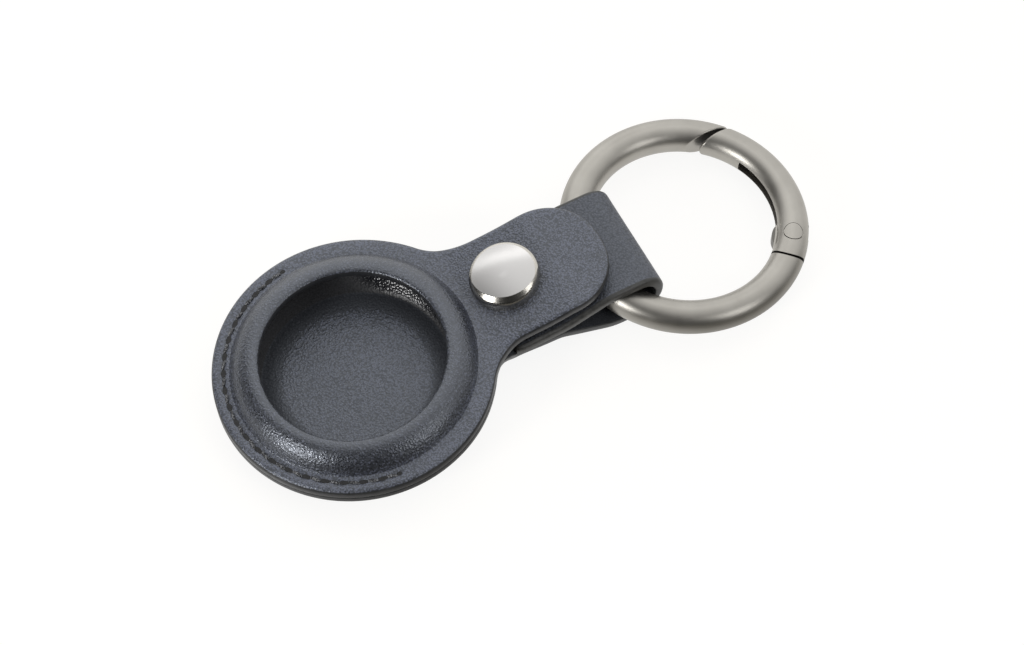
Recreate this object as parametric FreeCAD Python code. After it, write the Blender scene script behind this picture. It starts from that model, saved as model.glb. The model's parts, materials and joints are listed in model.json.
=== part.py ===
import FreeCAD, Part
import math
import os

Vec = FreeCAD.Vector

# A leather holder for a round tracker tag, lying on a table with its window up.
# Lengths are in millimetres and angles in degrees. The pouch is drawn in its own frame, with the window's
# axis on Z and the outside of the dish's bottom at height zero, and is then laid on the table, neck end up.
# X runs from the pouch to the ring, Z is up, and the finished part stands on the middle of its base.

# Leather: a grained skin bonded to a lining
skin = 0.95
glue_line = 0.05
lining = 0.5
leather = skin + glue_line + lining

# Pouch
disc_radius = 21.0
window_radius = 13.65
rim_crown_radius = 15.3
rim_brow_radius = 17.1
rim_crease_radius = 18.3
rim_height = 2.8
rim_crown = 0.2
rim_brow_drop = 1.0
crown_bend = 2.4
brow_bend = 5.0
crease_bend = 0.5
dish_depth = 2.8
dish_flat_radius = 15.0
dish_top_radius = 17.2
dish_bottom_bend = 2.5
dish_top_bend = 0.8
pouch_tilt_angle = 4.3

# Neck, flap and strap
flap_width = 18.1
strap_width = 18.0
neck_fillet = 9.0
neck_margin = 0.3
neck_flat = 0.7
neck_drop = 2.3
neck_bend_end = 21.6
neck_top_bend = 1.4
neck_low_bend = 2.6
hinge_slit = 0.05
flap_end = 40.8
flap_corner = 8.2
flap_pitch_angle = 9.0
flap_level_start = 31.8
flap_neck_bend = 7.0
flap_level_bend = 10.0
strap_split = 28.45
strap_kink = 29.2
return_kink = 30.6
return_end = 22.6
run_gap = 0.05

# Strap loop
loop_tip = 46.5
loop_gap = 6.1
loop_floor_start = 38.1
loop_top_start = 37.4
loop_top_bend = 3.9
kink_bend = 3.0
floor_bend = 7.0
top_bend = 8.0
return_bend = 8.0
tip_room = 0.55
bar_rest = 0.5

# Stitching
stitch_margin = 1.8
stitch_arc_angle = 168.0
stitch_pitch = 2.7
stitch_length = 2.0
thread_radius = 0.3

# Press stud
snap_x = 25.6
snap_y = 1.0
cap_radius = 5.3
cap_edge = 1.5
cap_dome = 0.5
cap_edge_bend = 0.6
cap_wall = 0.45
cap_lip = 0.8
barrel_inner_radius = 2.35
barrel_wall = 0.45
socket_radius = 4.4
socket_flange = 0.3
socket_floor = 0.3
socket_play = 0.05
stud_flange_radius = 3.4
stud_flange = 0.4
stud_neck_radius = 1.5
stud_head_radius = 1.8
stud_head = 0.7
stud_head_bend = 0.3
post_head_radius = 2.4
post_head = 0.5
post_radius = 1.1
post_play = 0.05
spring_wire = 0.5
spring_opening_angle = 40.0
spring_play = 0.1

# Ring with a sprung gate
ring_radius = 16.3
wire_radius = 2.5
pivot_angle = -35.5
tail_radius = 4.2
tail_seam = 0.2
nose_angle = 44.5
nose_slant_angle = -3.4
body_slant_angle = 2.0
nose_seam = 0.25
nose_bend = 0.3
tongue = 1.6
fork_play = 0.1
knuckle_radius = 3.1
knuckle_play = 0.25
knuckle_skin = 0.1
slot_depth = 0.8
slot_end_angle = 24.0
pin_radius = 0.9
pin_play = 0.03
pin_head_radius = 1.4
pin_head = 0.6
pin_proud = 0.05
pin_head_play = 0.1
gate_wire_radius = 0.3
gate_wire_play = 0.1
gate_wire_start_angle = -23.0
gate_wire_end_angle = 21.0

# Reach of every cutting tool beyond the solid that it cuts, and the least length of a straight run
overrun = 8.0
touching = 0.0001

# Heights in the pouch frame, worked out from the sizes above
rear_top = dish_depth + leather
front_top = rear_top + leather
rear_run = dish_depth - neck_drop
return_run = rear_run + leather + run_gap
return_top = return_run + leather
neck_line = rim_crease_radius + neck_margin
reach = disc_radius + overrun
stitch_radius = disc_radius - stitch_margin

# Heights in the flap's frame, whose zero is the flap's top face under the cap
socket_seat = -leather - socket_play
socket_floor_top = socket_seat - socket_flange - socket_play
socket_low = socket_floor_top - socket_floor
spring_height = (socket_floor_top + socket_low) / 2


def turned(point, pivot, angle):
    """A point of the XZ plane turned about a pivot, from X towards Z."""
    bow = math.radians(angle)
    across = point[0] - pivot[0]
    along = point[1] - pivot[1]
    return (pivot[0] + across * math.cos(bow) - along * math.sin(bow),
            pivot[1] + across * math.sin(bow) + along * math.cos(bow))


def pouch_pivot():
    """Centre of the dish's bottom bend on the side away from the neck, about which the pouch is tilted."""
    wall = math.atan2(dish_depth, dish_top_radius - dish_flat_radius)
    return (dish_bottom_bend * math.tan(wall / 2) - dish_flat_radius, dish_bottom_bend)


def on_table(x, z):
    """A point of the pouch frame as it lies on the table."""
    return turned((x, z), pouch_pivot(), pouch_tilt_angle)


def laid(shape):
    """A shape of the pouch frame laid on the table."""
    pivot = pouch_pivot()
    shape.rotate(Vec(pivot[0], 0, pivot[1]), Vec(0, 1, 0), -pouch_tilt_angle)
    return shape


def plane_point(point):
    """A point of a profile, drawn in the XZ plane."""
    return Vec(point[0], 0, point[1])


def route_edges(points, bends, shift):
    """Edges of a route of straight runs joined by tangent arcs, moved to its left by a shift."""
    headings = []
    for start, end in zip(points, points[1:]):
        run = math.hypot(end[0] - start[0], end[1] - start[1])
        headings.append(((end[0] - start[0]) / run, (end[1] - start[1]) / run))

    def moved(point, heading, along):
        return (point[0] + heading[0] * along - heading[1] * shift,
                point[1] + heading[1] * along + heading[0] * shift)

    edges = []
    here = moved(points[0], headings[0], 0)
    for corner, bend, before, after in zip(points[1:], bends, headings, headings[1:]):
        turn = math.atan2(before[0] * after[1] - before[1] * after[0],
                          before[0] * after[0] + before[1] * after[1])
        tangent = bend * math.tan(abs(turn) / 2)
        side = math.copysign(bend, turn)
        enter = moved(corner, before, -tangent)
        leave = moved(corner, after, tangent)
        centre = (corner[0] - before[0] * tangent - before[1] * side,
                  corner[1] - before[1] * tangent + before[0] * side)
        middle = turned(enter, centre, math.degrees(turn) / 2)
        if math.hypot(enter[0] - here[0], enter[1] - here[1]) > touching:
            edges.append(Part.makeLine(plane_point(here), plane_point(enter)))
        edges.append(Part.Arc(plane_point(enter), plane_point(middle), plane_point(leave)).toShape())
        here = leave
    last = moved(points[-1], headings[-1], 0)
    edges.append(Part.makeLine(plane_point(here), plane_point(last)))
    return edges


def strip(points, bends, first, second):
    """Face between two shifts of a route: the section of a sheet that follows it."""
    near = route_edges(points, bends, first)
    far = route_edges(points, bends, second)
    start = Part.makeLine(near[0].Vertexes[0].Point, far[0].Vertexes[0].Point)
    finish = Part.makeLine(near[-1].Vertexes[-1].Point, far[-1].Vertexes[-1].Point)
    return Part.Face(Part.Wire(Part.__sortEdges__(near + [finish] + far + [start])))


def revolved(face):
    """A section turned round the window's axis."""
    return face.revolve(Vec(0, 0, 0), Vec(0, 0, 1), 360)


def extruded(face, width):
    """A section of the XZ plane drawn out to a width, half on each side."""
    solid = face.extrude(Vec(0, width, 0))
    solid.translate(Vec(0, -width / 2, 0))
    return solid


def slab(x_from, x_to):
    """A block over the whole height and width of the leather, between two places along X."""
    block = Part.makeBox(x_to - x_from, reach * 2, reach * 2)
    block.translate(Vec(x_from, -reach, -reach))
    return block


def keyhole(half_width, end, corner):
    """Plan of a disc with a tab that grows out of it through two hollow fillets."""
    fillet_y = half_width + neck_fillet
    centre_x = math.sqrt((disc_radius + neck_fillet) ** 2 - fillet_y ** 2)
    share = disc_radius / (disc_radius + neck_fillet)
    disc_x = centre_x * share
    disc_y = fillet_y * share
    middle_angle = (math.atan2(disc_y - fillet_y, disc_x - centre_x) - math.pi / 2) / 2
    hollow_x = centre_x + neck_fillet * math.cos(middle_angle)
    hollow_y = fillet_y + neck_fillet * math.sin(middle_angle)
    round_share = 1 - math.sqrt(0.5)
    edges = [Part.Arc(Vec(disc_x, disc_y, 0), Vec(-disc_radius, 0, 0), Vec(disc_x, -disc_y, 0)).toShape()]
    for side in (-1, 1):
        tab_y = side * half_width
        corner_y = side * (half_width - corner)
        edges.append(Part.Arc(Vec(disc_x, side * disc_y, 0), Vec(hollow_x, side * hollow_y, 0),
                              Vec(centre_x, tab_y, 0)).toShape())
        edges.append(Part.makeLine(Vec(centre_x, tab_y, 0), Vec(end - corner, tab_y, 0)))
        edges.append(Part.Arc(Vec(end - corner, tab_y, 0),
                              Vec(end - corner * round_share, tab_y - side * corner * round_share, 0),
                              Vec(end, corner_y, 0)).toShape())
    edges.append(Part.makeLine(Vec(end, corner - half_width, 0), Vec(end, half_width - corner, 0)))
    plan = Part.Face(Part.Wire(Part.__sortEdges__(edges)))
    plan.translate(Vec(0, 0, -reach))
    return plan.extrude(Vec(0, 0, reach * 2))


def one_solid(shape):
    """The single solid of a boolean result, with its split faces joined."""
    return shape.removeSplitter().Solids[0]


def upright(radius, low, high, x, y):
    """A round bar along Z between two heights."""
    return Part.makeCylinder(radius, high - low, Vec(x, y, low))


def stud_x():
    """Place of the stud's axis, under the middle of the spring ring in the sloping socket."""
    return snap_x - spring_height * math.sin(math.radians(flap_pitch_angle))


def stud_hole(radius):
    """Cutter along the stud's axis, through both runs of the strap."""
    return upright(radius, -reach, reach, stud_x(), snap_y)


def rear_sheet(first, second):
    """One layer of the pouch's back: the dish with its flange, and the neck tab that leads to the strap."""
    dish = [(0, 0), (dish_flat_radius, 0), (dish_top_radius, dish_depth), (reach, dish_depth)]
    bowl = revolved(strip(dish, [dish_bottom_bend, dish_top_bend], first, second))
    neck = [(neck_line, dish_depth), (neck_line + neck_flat, dish_depth), (neck_bend_end, rear_run),
            (strap_split, rear_run)]
    tab = extruded(strip(neck, [neck_top_bend, neck_low_bend], first, second), reach)
    plan = keyhole(strap_width / 2, reach * 2, leather)
    disc = bowl.common(plan).common(slab(-reach, neck_line))
    return one_solid(disc.fuse(tab.common(plan)).cut(stud_hole(post_radius + post_play)))


def strap_route():
    """Outer face of the strap, from the neck tab round the ring's bar and back under the flap."""
    loop_top = loop_gap + leather * 2
    return [on_table(strap_split, rear_run), on_table(strap_kink, rear_run), (loop_floor_start, 0),
            (loop_tip, 0), (loop_tip, loop_top), (loop_top_start, loop_top),
            on_table(return_kink, return_top), on_table(return_end, return_top)]


def strap_sheet(first, second):
    """One layer of the strap loop."""
    loop_low_bend = loop_gap + leather * 2 - loop_top_bend
    bends = [kink_bend, floor_bend, loop_low_bend, loop_top_bend, top_bend, return_bend]
    band = extruded(strip(strap_route(), bends, first, second), strap_width)
    return one_solid(band.cut(laid(stud_hole(post_radius + post_play))))


def cover_sheet(first, second):
    """One layer of the pouch's front: the flange and the moulded rim round the window."""
    crest = front_top + rim_height
    rim = [(window_radius, crest), (rim_crown_radius, crest + rim_crown),
           (rim_brow_radius, crest - rim_brow_drop), (rim_crease_radius, front_top), (reach, front_top)]
    ring = revolved(strip(rim, [crown_bend, brow_bend, crease_bend], first, second))
    plan = keyhole(flap_width / 2, flap_end, flap_corner)
    return one_solid(ring.common(plan).common(slab(-reach, neck_line)))


def flap_rise(x):
    """Height of the sloping stretch of the flap's top face at a place along it."""
    return front_top + (x - neck_line - neck_flat) * math.tan(math.radians(flap_pitch_angle))


def on_flap(shape):
    """A shape of the flap's frame set on the flap, on the press stud's axis."""
    shape.rotate(Vec(0, 0, 0), Vec(0, 1, 0), -flap_pitch_angle)
    shape.translate(Vec(snap_x, snap_y, flap_rise(snap_x)))
    return shape


def flap_sheet(first, second):
    """One layer of the flap, from the hinge line beside the rim up its slope to the level round end."""
    level = flap_rise(flap_level_start)
    route = [(neck_line + hinge_slit, front_top), (neck_line + neck_flat, front_top),
             (flap_level_start, level), (reach * 2, level)]
    sheet = extruded(strip(route, [flap_neck_bend, flap_level_bend], first, second), reach)
    plan = keyhole(flap_width / 2, flap_end, flap_corner)
    hole = on_flap(upright(barrel_inner_radius + barrel_wall + socket_play, -reach, reach, 0, 0))
    return one_solid(sheet.common(plan).cut(hole))


def stitches(height, side):
    """A row of half-round stitches along the sewn arc, on the front (side 1) or on the back (side -1)."""
    half_round = Part.Arc(Vec(0, -thread_radius, 0), Vec(0, 0, side * thread_radius),
                          Vec(0, thread_radius, 0)).toShape()
    flat = Part.makeLine(Vec(0, thread_radius, 0), Vec(0, -thread_radius, 0))
    section = Part.Face(Part.Wire([half_round, flat]))
    count = int(math.radians(stitch_arc_angle) * stitch_radius / stitch_pitch)
    row = []
    for index in range(count):
        angle = 180 + stitch_arc_angle * ((index + 0.5) / count - 0.5)
        bar = section.extrude(Vec(stitch_length, 0, 0))
        bar.translate(Vec(-stitch_length / 2, stitch_radius, height))
        bar.rotate(Vec(0, 0, 0), Vec(0, 0, 1), angle - 90)
        row.append(bar)
    return Part.makeCompound(row)


def profile_solid(points):
    """A turned piece about Z, from its half section in radius and height."""
    corners = [Vec(radius, 0, height) for radius, height in points]
    return revolved(Part.Face(Part.makePolygon(corners + corners[:1]))).Solids[0]


def snap_cap():
    """Domed cap on the flap, hollow inside, with the barrel that holds the socket."""
    barrel_radius = barrel_inner_radius + barrel_wall
    top = cap_edge + cap_dome
    dome_radius = (cap_radius ** 2 + cap_dome ** 2) / (cap_dome * 2)
    half_angle = math.asin(cap_radius / dome_radius)
    middle = Vec(dome_radius * math.sin(half_angle / 2), 0,
                 top - dome_radius * (1 - math.cos(half_angle / 2)))
    crown = Part.Arc(Vec(0, 0, top), middle, Vec(cap_radius, 0, cap_edge)).toShape()
    barrel_end = socket_seat - socket_flange
    shoulder = cap_edge - cap_edge_bend
    ceiling = cap_edge + cap_dome / 2 - cap_wall
    inner = [(cap_radius, cap_edge), (cap_radius, 0), (cap_radius - cap_lip, 0),
             (cap_radius - cap_lip, shoulder), (barrel_radius, ceiling), (barrel_radius, barrel_end),
             (barrel_inner_radius, barrel_end), (barrel_inner_radius, ceiling), (0, ceiling), (0, top)]
    lines = [Part.makeLine(plane_point(start), plane_point(end)) for start, end in zip(inner, inner[1:])]
    cap = revolved(Part.Face(Part.Wire(Part.__sortEdges__([crown] + lines)))).Solids[0]
    rim = [edge for edge in cap.Edges
           if abs(edge.BoundBox.ZMax - cap_edge) < touching and edge.BoundBox.ZLength < touching]
    return on_flap(cap.makeFillet(cap_edge_bend, rim))


def snap_socket():
    """Socket ring under the flap, with a floor that carries the barrel's end and leaves the stud's way free."""
    sleeve = barrel_inner_radius + barrel_wall
    hub = sleeve + barrel_wall
    section = [(barrel_inner_radius, socket_low), (hub, socket_low), (hub, socket_floor_top),
               (socket_radius, socket_floor_top), (socket_radius, socket_seat),
               (sleeve + socket_play, socket_seat), (sleeve + socket_play, socket_floor_top),
               (barrel_inner_radius, socket_floor_top)]
    return on_flap(profile_solid(section))


def socket_spring():
    """Split wire ring in the socket's floor that grips the stud under its head."""
    radius = stud_neck_radius + spring_play + spring_wire / 2
    ring = Part.makeTorus(radius, spring_wire / 2, Vec(0, 0, spring_height), Vec(0, 0, 1), 0, 360,
                          360 - spring_opening_angle)
    return on_flap(ring.Solids[0])


def stud_neck_top():
    """Underside of the stud's head, which clears the sloping spring ring."""
    pitch = math.radians(flap_pitch_angle)
    spring_reach = stud_neck_radius + spring_play + spring_wire
    lift = spring_wire / 2 + spring_play + spring_reach * math.sin(pitch)
    return flap_rise(snap_x) + spring_height * math.cos(pitch) + lift


def snap_stud():
    """Stud on the strap, with a hollow head that the post is riveted into."""
    flange_top = return_top + stud_flange
    neck_top = stud_neck_top()
    head_top = neck_top + stud_head
    bore = post_radius + post_play
    section = [(bore, return_top), (stud_flange_radius, return_top), (stud_flange_radius, flange_top),
               (stud_neck_radius, flange_top), (stud_neck_radius, neck_top), (stud_head_radius, neck_top),
               (stud_head_radius, head_top - stud_head_bend), (stud_head_radius - stud_head_bend, head_top),
               (0, head_top), (0, neck_top), (bore, neck_top)]
    stud = profile_solid(section)
    stud.translate(Vec(stud_x(), snap_y, 0))
    return stud


def snap_post():
    """Rivet through both runs of the strap, with its head on the back."""
    head_low = rear_run - post_head
    head_bend = post_head / 2
    tip = stud_neck_top() - post_play
    section = [(0, head_low), (post_head_radius - head_bend, head_low), (post_head_radius, rear_run - head_bend),
               (post_head_radius, rear_run), (post_radius, rear_run), (post_radius, tip), (0, tip)]
    post = profile_solid(section)
    post.translate(Vec(stud_x(), snap_y, 0))
    return post


def ring_point(radius, angle):
    """A point of the ring's plane, in the ring's own frame."""
    return Vec(radius * math.cos(math.radians(angle)), radius * math.sin(math.radians(angle)), 0)


def pivot():
    """Gate pivot in the ring's own frame."""
    return ring_point(ring_radius, pivot_angle)


def pivot_bar(radius, half_length):
    """A round bar along the gate's pivot."""
    return Part.makeCylinder(radius, half_length * 2, pivot() - Vec(0, 0, half_length))


def ring_wire(radius):
    """The whole round wire of the ring."""
    return Part.makeTorus(ring_radius, radius)


def gate_side(slant_angle, seam):
    """Block that holds the gate's stretch of the ring, cut at the nose on a slant from the ring's outside."""
    outside = ring_radius + wire_radius + overrun
    outer_x = math.sqrt((ring_radius + wire_radius) ** 2 - ring_point(ring_radius, nose_angle).y ** 2)
    outer_y = ring_point(ring_radius, nose_angle).y + seam
    slope = math.tan(math.radians(slant_angle))
    nose_inner = Vec(0, outer_y + outer_x * slope, 0)
    nose_outer = Vec(outside, outer_y - (outside - outer_x) * slope, 0)
    tail = ring_point(outside, pivot_angle)
    tail_corner = Vec(outside, tail.y, 0)
    corners = [Vec(0, 0, 0), tail, tail_corner, nose_outer, nose_inner, Vec(0, 0, 0)]
    face = Part.Face(Part.makePolygon(corners))
    face.translate(Vec(0, 0, -overrun))
    return face.extrude(Vec(0, 0, overrun * 2))


def nose_edges(shape, slant_angle):
    """Edges of the flat face that ends a stretch of the wire at the nose."""
    across = Vec(math.sin(math.radians(slant_angle)), math.cos(math.radians(slant_angle)), 0)
    flats = [face for face in shape.Faces
             if isinstance(face.Surface, Part.Plane) and abs(face.Surface.Axis.dot(across)) > 1 - touching]
    return flats[0].Edges


def ring_body():
    """C of the ring with the tongue that the gate turns on."""
    seam = tail_radius + tail_seam
    body = ring_wire(wire_radius).cut(gate_side(body_slant_angle, nose_seam)).cut(pivot_bar(seam, overrun))
    flat = Part.makeBox(ring_radius * 4, ring_radius * 4, tongue)
    flat.translate(Vec(-ring_radius * 2, -ring_radius * 2, -tongue / 2))
    inside = Part.makeCylinder(ring_radius + wire_radius - knuckle_skin, tongue, Vec(0, 0, -tongue / 2))
    shank = ring_wire(wire_radius).common(pivot_bar(seam + overrun, tongue)).cut(gate_side(nose_slant_angle, 0)).common(flat)
    knuckle = pivot_bar(knuckle_radius, tongue / 2).common(inside)
    joined = body.fuse(shank).fuse(knuckle)
    whole = one_solid(joined.cut(pivot_bar(pin_radius + pin_play, overrun)))
    return whole.makeFillet(nose_bend, nose_edges(whole, body_slant_angle))


def slot_block():
    """Room for the spring on the inside of the gate, from the knuckle to the slot's end."""
    half = tongue / 2 + fork_play
    low = ring_radius - wire_radius - overrun
    high = ring_radius + slot_depth
    face = Part.Face(Part.makePolygon([Vec(low, 0, -half), Vec(high, 0, -half), Vec(high, 0, half),
                                       Vec(low, 0, half), Vec(low, 0, -half)]))
    face.rotate(Vec(0, 0, 0), Vec(0, 0, 1), pivot_angle)
    return face.revolve(Vec(0, 0, 0), Vec(0, 0, 1), slot_end_angle - pivot_angle)


def fork_block():
    """Room for the tongue and its knuckle at the gate's tail."""
    half = tongue / 2 + fork_play
    knuckle = pivot_bar(knuckle_radius + knuckle_play, half)
    tail = Part.makeBox(tail_radius + overrun, overrun * 2, half * 2)
    tail.translate(Vec(-tail_radius - overrun, -overrun, -half))
    tail.rotate(Vec(0, 0, 0), Vec(0, 0, 1), pivot_angle + 90)
    tail.translate(pivot())
    return knuckle.fuse(tail)


def ring_gate():
    """Gate of the ring: forked at the pivot, slotted inside for its spring, with a slanted nose."""
    side = gate_side(nose_slant_angle, 0).fuse(pivot_bar(tail_radius, overrun))
    gate = ring_wire(wire_radius).common(side)
    gate = gate.cut(slot_block()).cut(fork_block())
    seat = wire_radius - pin_head - pin_play
    for low in (seat, -seat - overrun):
        gate = gate.cut(Part.makeCylinder(pin_head_radius + pin_head_play, overrun, pivot() + Vec(0, 0, low)))
    whole = one_solid(gate.cut(pivot_bar(pin_radius + pin_play, overrun)))
    return whole.makeFillet(nose_bend, nose_edges(whole, nose_slant_angle))


def gate_pin():
    """Rivet of the gate, with round heads that follow the wire."""
    heads = pivot_bar(pin_head_radius, overrun).cut(pivot_bar(pin_head_radius + overrun, wire_radius - pin_head))
    whole = heads.fuse(pivot_bar(pin_radius, overrun))
    return one_solid(whole.common(ring_wire(wire_radius + pin_proud)))


def gate_spring():
    """Bent wire in the gate's slot, between the knuckle and the slot's end."""
    radius = ring_radius + slot_depth - gate_wire_play - gate_wire_radius
    wire = Part.makeTorus(radius, gate_wire_radius, Vec(0, 0, 0), Vec(0, 0, 1), 0, 360,
                          gate_wire_end_angle - gate_wire_start_angle)
    wire.rotate(Vec(0, 0, 0), Vec(0, 0, 1), gate_wire_start_angle)
    return wire.Solids[0]


def bar_place():
    """Middle of the ring's bar inside the strap loop, on the table."""
    half = strap_width / 2
    bulge = ring_radius - math.sqrt((ring_radius - wire_radius) ** 2 - half ** 2)
    return (loop_tip - leather - tip_room - bulge, leather + bar_rest + wire_radius)


def ring_tilt():
    """Tilt of the ring, whose far side lies on the table while its bar lies in the strap loop."""
    return math.degrees(math.asin((leather + bar_rest) / (ring_radius * 2)))


def ring_centre():
    """Centre of the ring on the table."""
    bar = bar_place()
    bow = math.radians(ring_tilt())
    return Vec(bar[0] + ring_radius * math.cos(bow), 0, bar[1] - ring_radius * math.sin(bow))


def threaded(shape):
    """A shape of the ring's frame placed in the strap loop."""
    shape.rotate(Vec(0, 0, 0), Vec(0, 1, 0), ring_tilt())
    shape.translate(ring_centre())
    return shape


def all_pieces():
    """Every piece of the holder by name, lying on the table."""
    inner = skin + glue_line
    pouch = {
        "rear_panel": rear_sheet(0, skin),
        "rear_lining": rear_sheet(inner, leather),
        "front_cover": cover_sheet(-skin, 0),
        "front_lining": cover_sheet(-leather, -inner),
        "front_flap": flap_sheet(-skin, 0),
        "flap_lining": flap_sheet(-leather, -inner),
        "needle_thread": stitches(front_top, 1),
        "bobbin_thread": stitches(dish_depth, -1),
        "snap_cap": snap_cap(),
        "snap_socket": snap_socket(),
        "socket_spring": socket_spring(),
        "snap_stud": snap_stud(),
        "snap_post": snap_post(),
    }
    ring = {
        "ring_body": ring_body(),
        "ring_gate": ring_gate(),
        "gate_pin": gate_pin(),
        "gate_spring": gate_spring(),
    }
    pieces = {name: laid(shape) for name, shape in pouch.items()}
    pieces["strap_loop"] = strap_sheet(0, skin)
    pieces["strap_lining"] = strap_sheet(inner, leather)
    pieces.update({name: threaded(shape) for name, shape in ring.items()})
    return pieces


def main():
    """Centre the holder on its base, write every piece and print the places of its joints."""
    pieces = all_pieces()
    box = Part.makeCompound(list(pieces.values())).optimalBoundingBox(False, False)
    home = Vec(-(box.XMin + box.XMax) / 2, 0, -box.ZMin)
    os.makedirs("parts", exist_ok=True)
    for name, shape in sorted(pieces.items()):
        shape.translate(home)
        shape.exportStep("parts/" + name + ".step")
        print(name, len(shape.Solids), "solid(s), volume", round(shape.Volume, 2), "valid", shape.isValid())
    hinge = on_table(neck_line, front_top)
    bar = bar_place()
    gate = threaded(Part.Vertex(pivot())).Point + home
    print("box", [round(side, 3) for side in (box.XLength, box.YLength, box.ZLength)])
    print("flap hinge", round(hinge[0] + home.x, 4), round(hinge[1] + home.z, 4))
    print("ring bar", round(bar[0] + home.x, 4), round(bar[1] + home.z, 4))
    print("gate pivot", [round(value, 4) for value in gate], "ring tilt", round(ring_tilt(), 4))
    print("pouch origin", [round(value, 4) for value in on_table(0, 0)], "home", round(home.x, 4), round(home.z, 4))


main()
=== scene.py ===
import json
import math

import bmesh
import bpy
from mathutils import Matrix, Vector, noise


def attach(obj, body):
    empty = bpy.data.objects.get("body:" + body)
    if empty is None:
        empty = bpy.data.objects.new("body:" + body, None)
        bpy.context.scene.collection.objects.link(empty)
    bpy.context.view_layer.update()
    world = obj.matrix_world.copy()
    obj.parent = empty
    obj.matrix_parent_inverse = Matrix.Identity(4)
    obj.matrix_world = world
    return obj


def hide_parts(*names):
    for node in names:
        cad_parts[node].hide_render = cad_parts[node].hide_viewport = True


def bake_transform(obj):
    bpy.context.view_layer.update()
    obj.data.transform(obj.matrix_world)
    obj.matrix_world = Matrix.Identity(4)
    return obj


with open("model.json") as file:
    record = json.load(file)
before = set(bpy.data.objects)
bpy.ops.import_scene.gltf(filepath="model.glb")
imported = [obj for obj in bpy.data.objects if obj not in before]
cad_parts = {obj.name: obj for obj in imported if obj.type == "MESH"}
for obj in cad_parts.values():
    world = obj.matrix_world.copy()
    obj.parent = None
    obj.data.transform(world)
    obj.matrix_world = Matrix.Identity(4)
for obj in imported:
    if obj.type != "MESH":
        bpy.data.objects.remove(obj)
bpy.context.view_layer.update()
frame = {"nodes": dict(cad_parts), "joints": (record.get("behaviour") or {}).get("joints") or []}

# A leather tracker tag holder with a press-stud flap and a sprung ring, lying on a white table.
# The leather is drawn in millimetres: the pouch in its own frame, with the window's axis on Z, and the
# strap in the table's frame. Every finished mesh is in metres, in the frame of the solids.
mm = 0.001

# Leather
leather = 1.5
edge_round = 0.62
edge_round_angles = (22.5, 45.0, 67.5, 90.0)
seam_round = 0.2
disc_radius = 21.0
window_radius = 13.65
rim_crown_radius = 15.3
rim_brow_radius = 17.1
rim_crease_radius = 18.3
rim_height = 2.8
rim_crown = 0.2
rim_brow_drop = 1.0
crown_bend = 2.4
brow_bend = 5.0
crease_bend = 0.25
flange_start = 18.46
dish_depth = 2.8
dish_hub_radius = 1.0
dish_flat_radius = 15.0
dish_top_radius = 17.2
dish_bottom_bend = 2.5
dish_top_bend = 0.8
pouch_tilt_angle = 4.3

# Neck, flap and strap
flap_width = 18.1
strap_width = 18.0
neck_fillet = 9.0
rear_neck_fillet = 7.0
neck_sway = 0.55
neck_sway_place = 21.0
neck_sway_width = 5.5
neck_margin = 0.3
neck_flat = 0.7
neck_drop = 2.3
neck_bend_end = 21.6
neck_top_bend = 1.4
neck_low_bend = 2.6
neck_line = rim_crease_radius + neck_margin
flap_end = 40.8
flap_corner = 8.2
flap_pitch_angle = 9.0
flap_level_start = 31.8
flap_neck_bend = 7.0
flap_level_bend = 10.0
strap_kink = 29.2
return_kink = 30.6
return_end = 22.6
run_gap = 0.05
loop_tip = 46.5
loop_gap = 6.1
loop_floor_start = 38.1
loop_top_start = 37.4
loop_top_bend = 3.9
kink_bend = 3.0
floor_bend = 7.0
top_bend = 8.0
return_bend = 8.0

# Press stud
snap_x = 25.6
snap_y = 1.0
cap_top_radius = 4.75
cap_top_blend = 0.04
cap_bevel_angle = 62.0
cap_bevel_shift = 1.35
cap_bevel_radius = 5.2
cap_bevel_slope = 0.58

# Ring
ring_radius = 16.3
wire_radius = 2.5
pivot_angle = -35.5
tail_radius = 4.2
tail_seam = 0.2
nose_angle = 44.5
nose_slant_angle = -3.4
body_slant_angle = 2.0
nose_seam = 0.25
seam_margin = 0.06

# Stitching
stitch_margin = 1.8
stitch_arc = 168.0
stitch_fade_angle = 2.0
stitch_pitch = 2.7
stitch_length = 1.8
stitch_slant = 0.14
thread_radius = 0.27
thread_rise = 0.04
thread_dive = 0.32
thread_swell_share = 0.3
thread_taper_share = 0.35
groove_depth = 0.14
groove_width = 0.5
hole_depth = 0.2
hole_width = 0.34
hole_length = 0.76
hole_breadth = 0.36
hole_sink = 0.1

# Unevenness of the hand-worked leather
wave_height = 0.012
wave_length = 9.0
wave_shift = Vector((1.0, 2.0, 3.0))
front_seed = 1.0
rear_seed = 2.0

# Fineness of the meshes: lengths of steps, angles of steps, and counts
rim_step = 0.3
rim_step_angle = 4.0
dish_step = 0.7
strap_step = 0.5
bend_step_angle = 7.0
same_place_share = 0.02
neck_columns = 44
disc_columns = 300
flange_rings = 14
flap_rows = 60
flap_corner_rows = 26
thread_sides = 10
thread_steps = 14

# Material slots of a leather panel
outer_face = 0
inner_face = 1
painted_edge = 2
# Painted shade on the pocket's wall
pocket_shade_side = 3
# Painted highlight on edges: a light line along their bottom corner, and the edges of the strap's upper run
highlight_side = 4
# Painted shadow on the strap under the flap
flap_shadow_face = 5

# Material slots of a row of stitches
thread_slot = 0
# Painted shade in the needle holes
hole_shade_slot = 1

# Grain of the leather: scales are per metre, shares are of the grain's own values
pebble_scale = 2900
pebble_smoothness = 0.35
pebble_end = 0.8
crease_scale = 4300
patch_scale = 120
pebble_tone_share = -0.3
patch_tone_share = 0.08
pebble_rough_share = 0.5
crease_height_share = 0.6
grain_tones = (0.35, 0.45)
grain_rough_span = (0.4, 0.9)
grain_depth = 0.055

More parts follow.
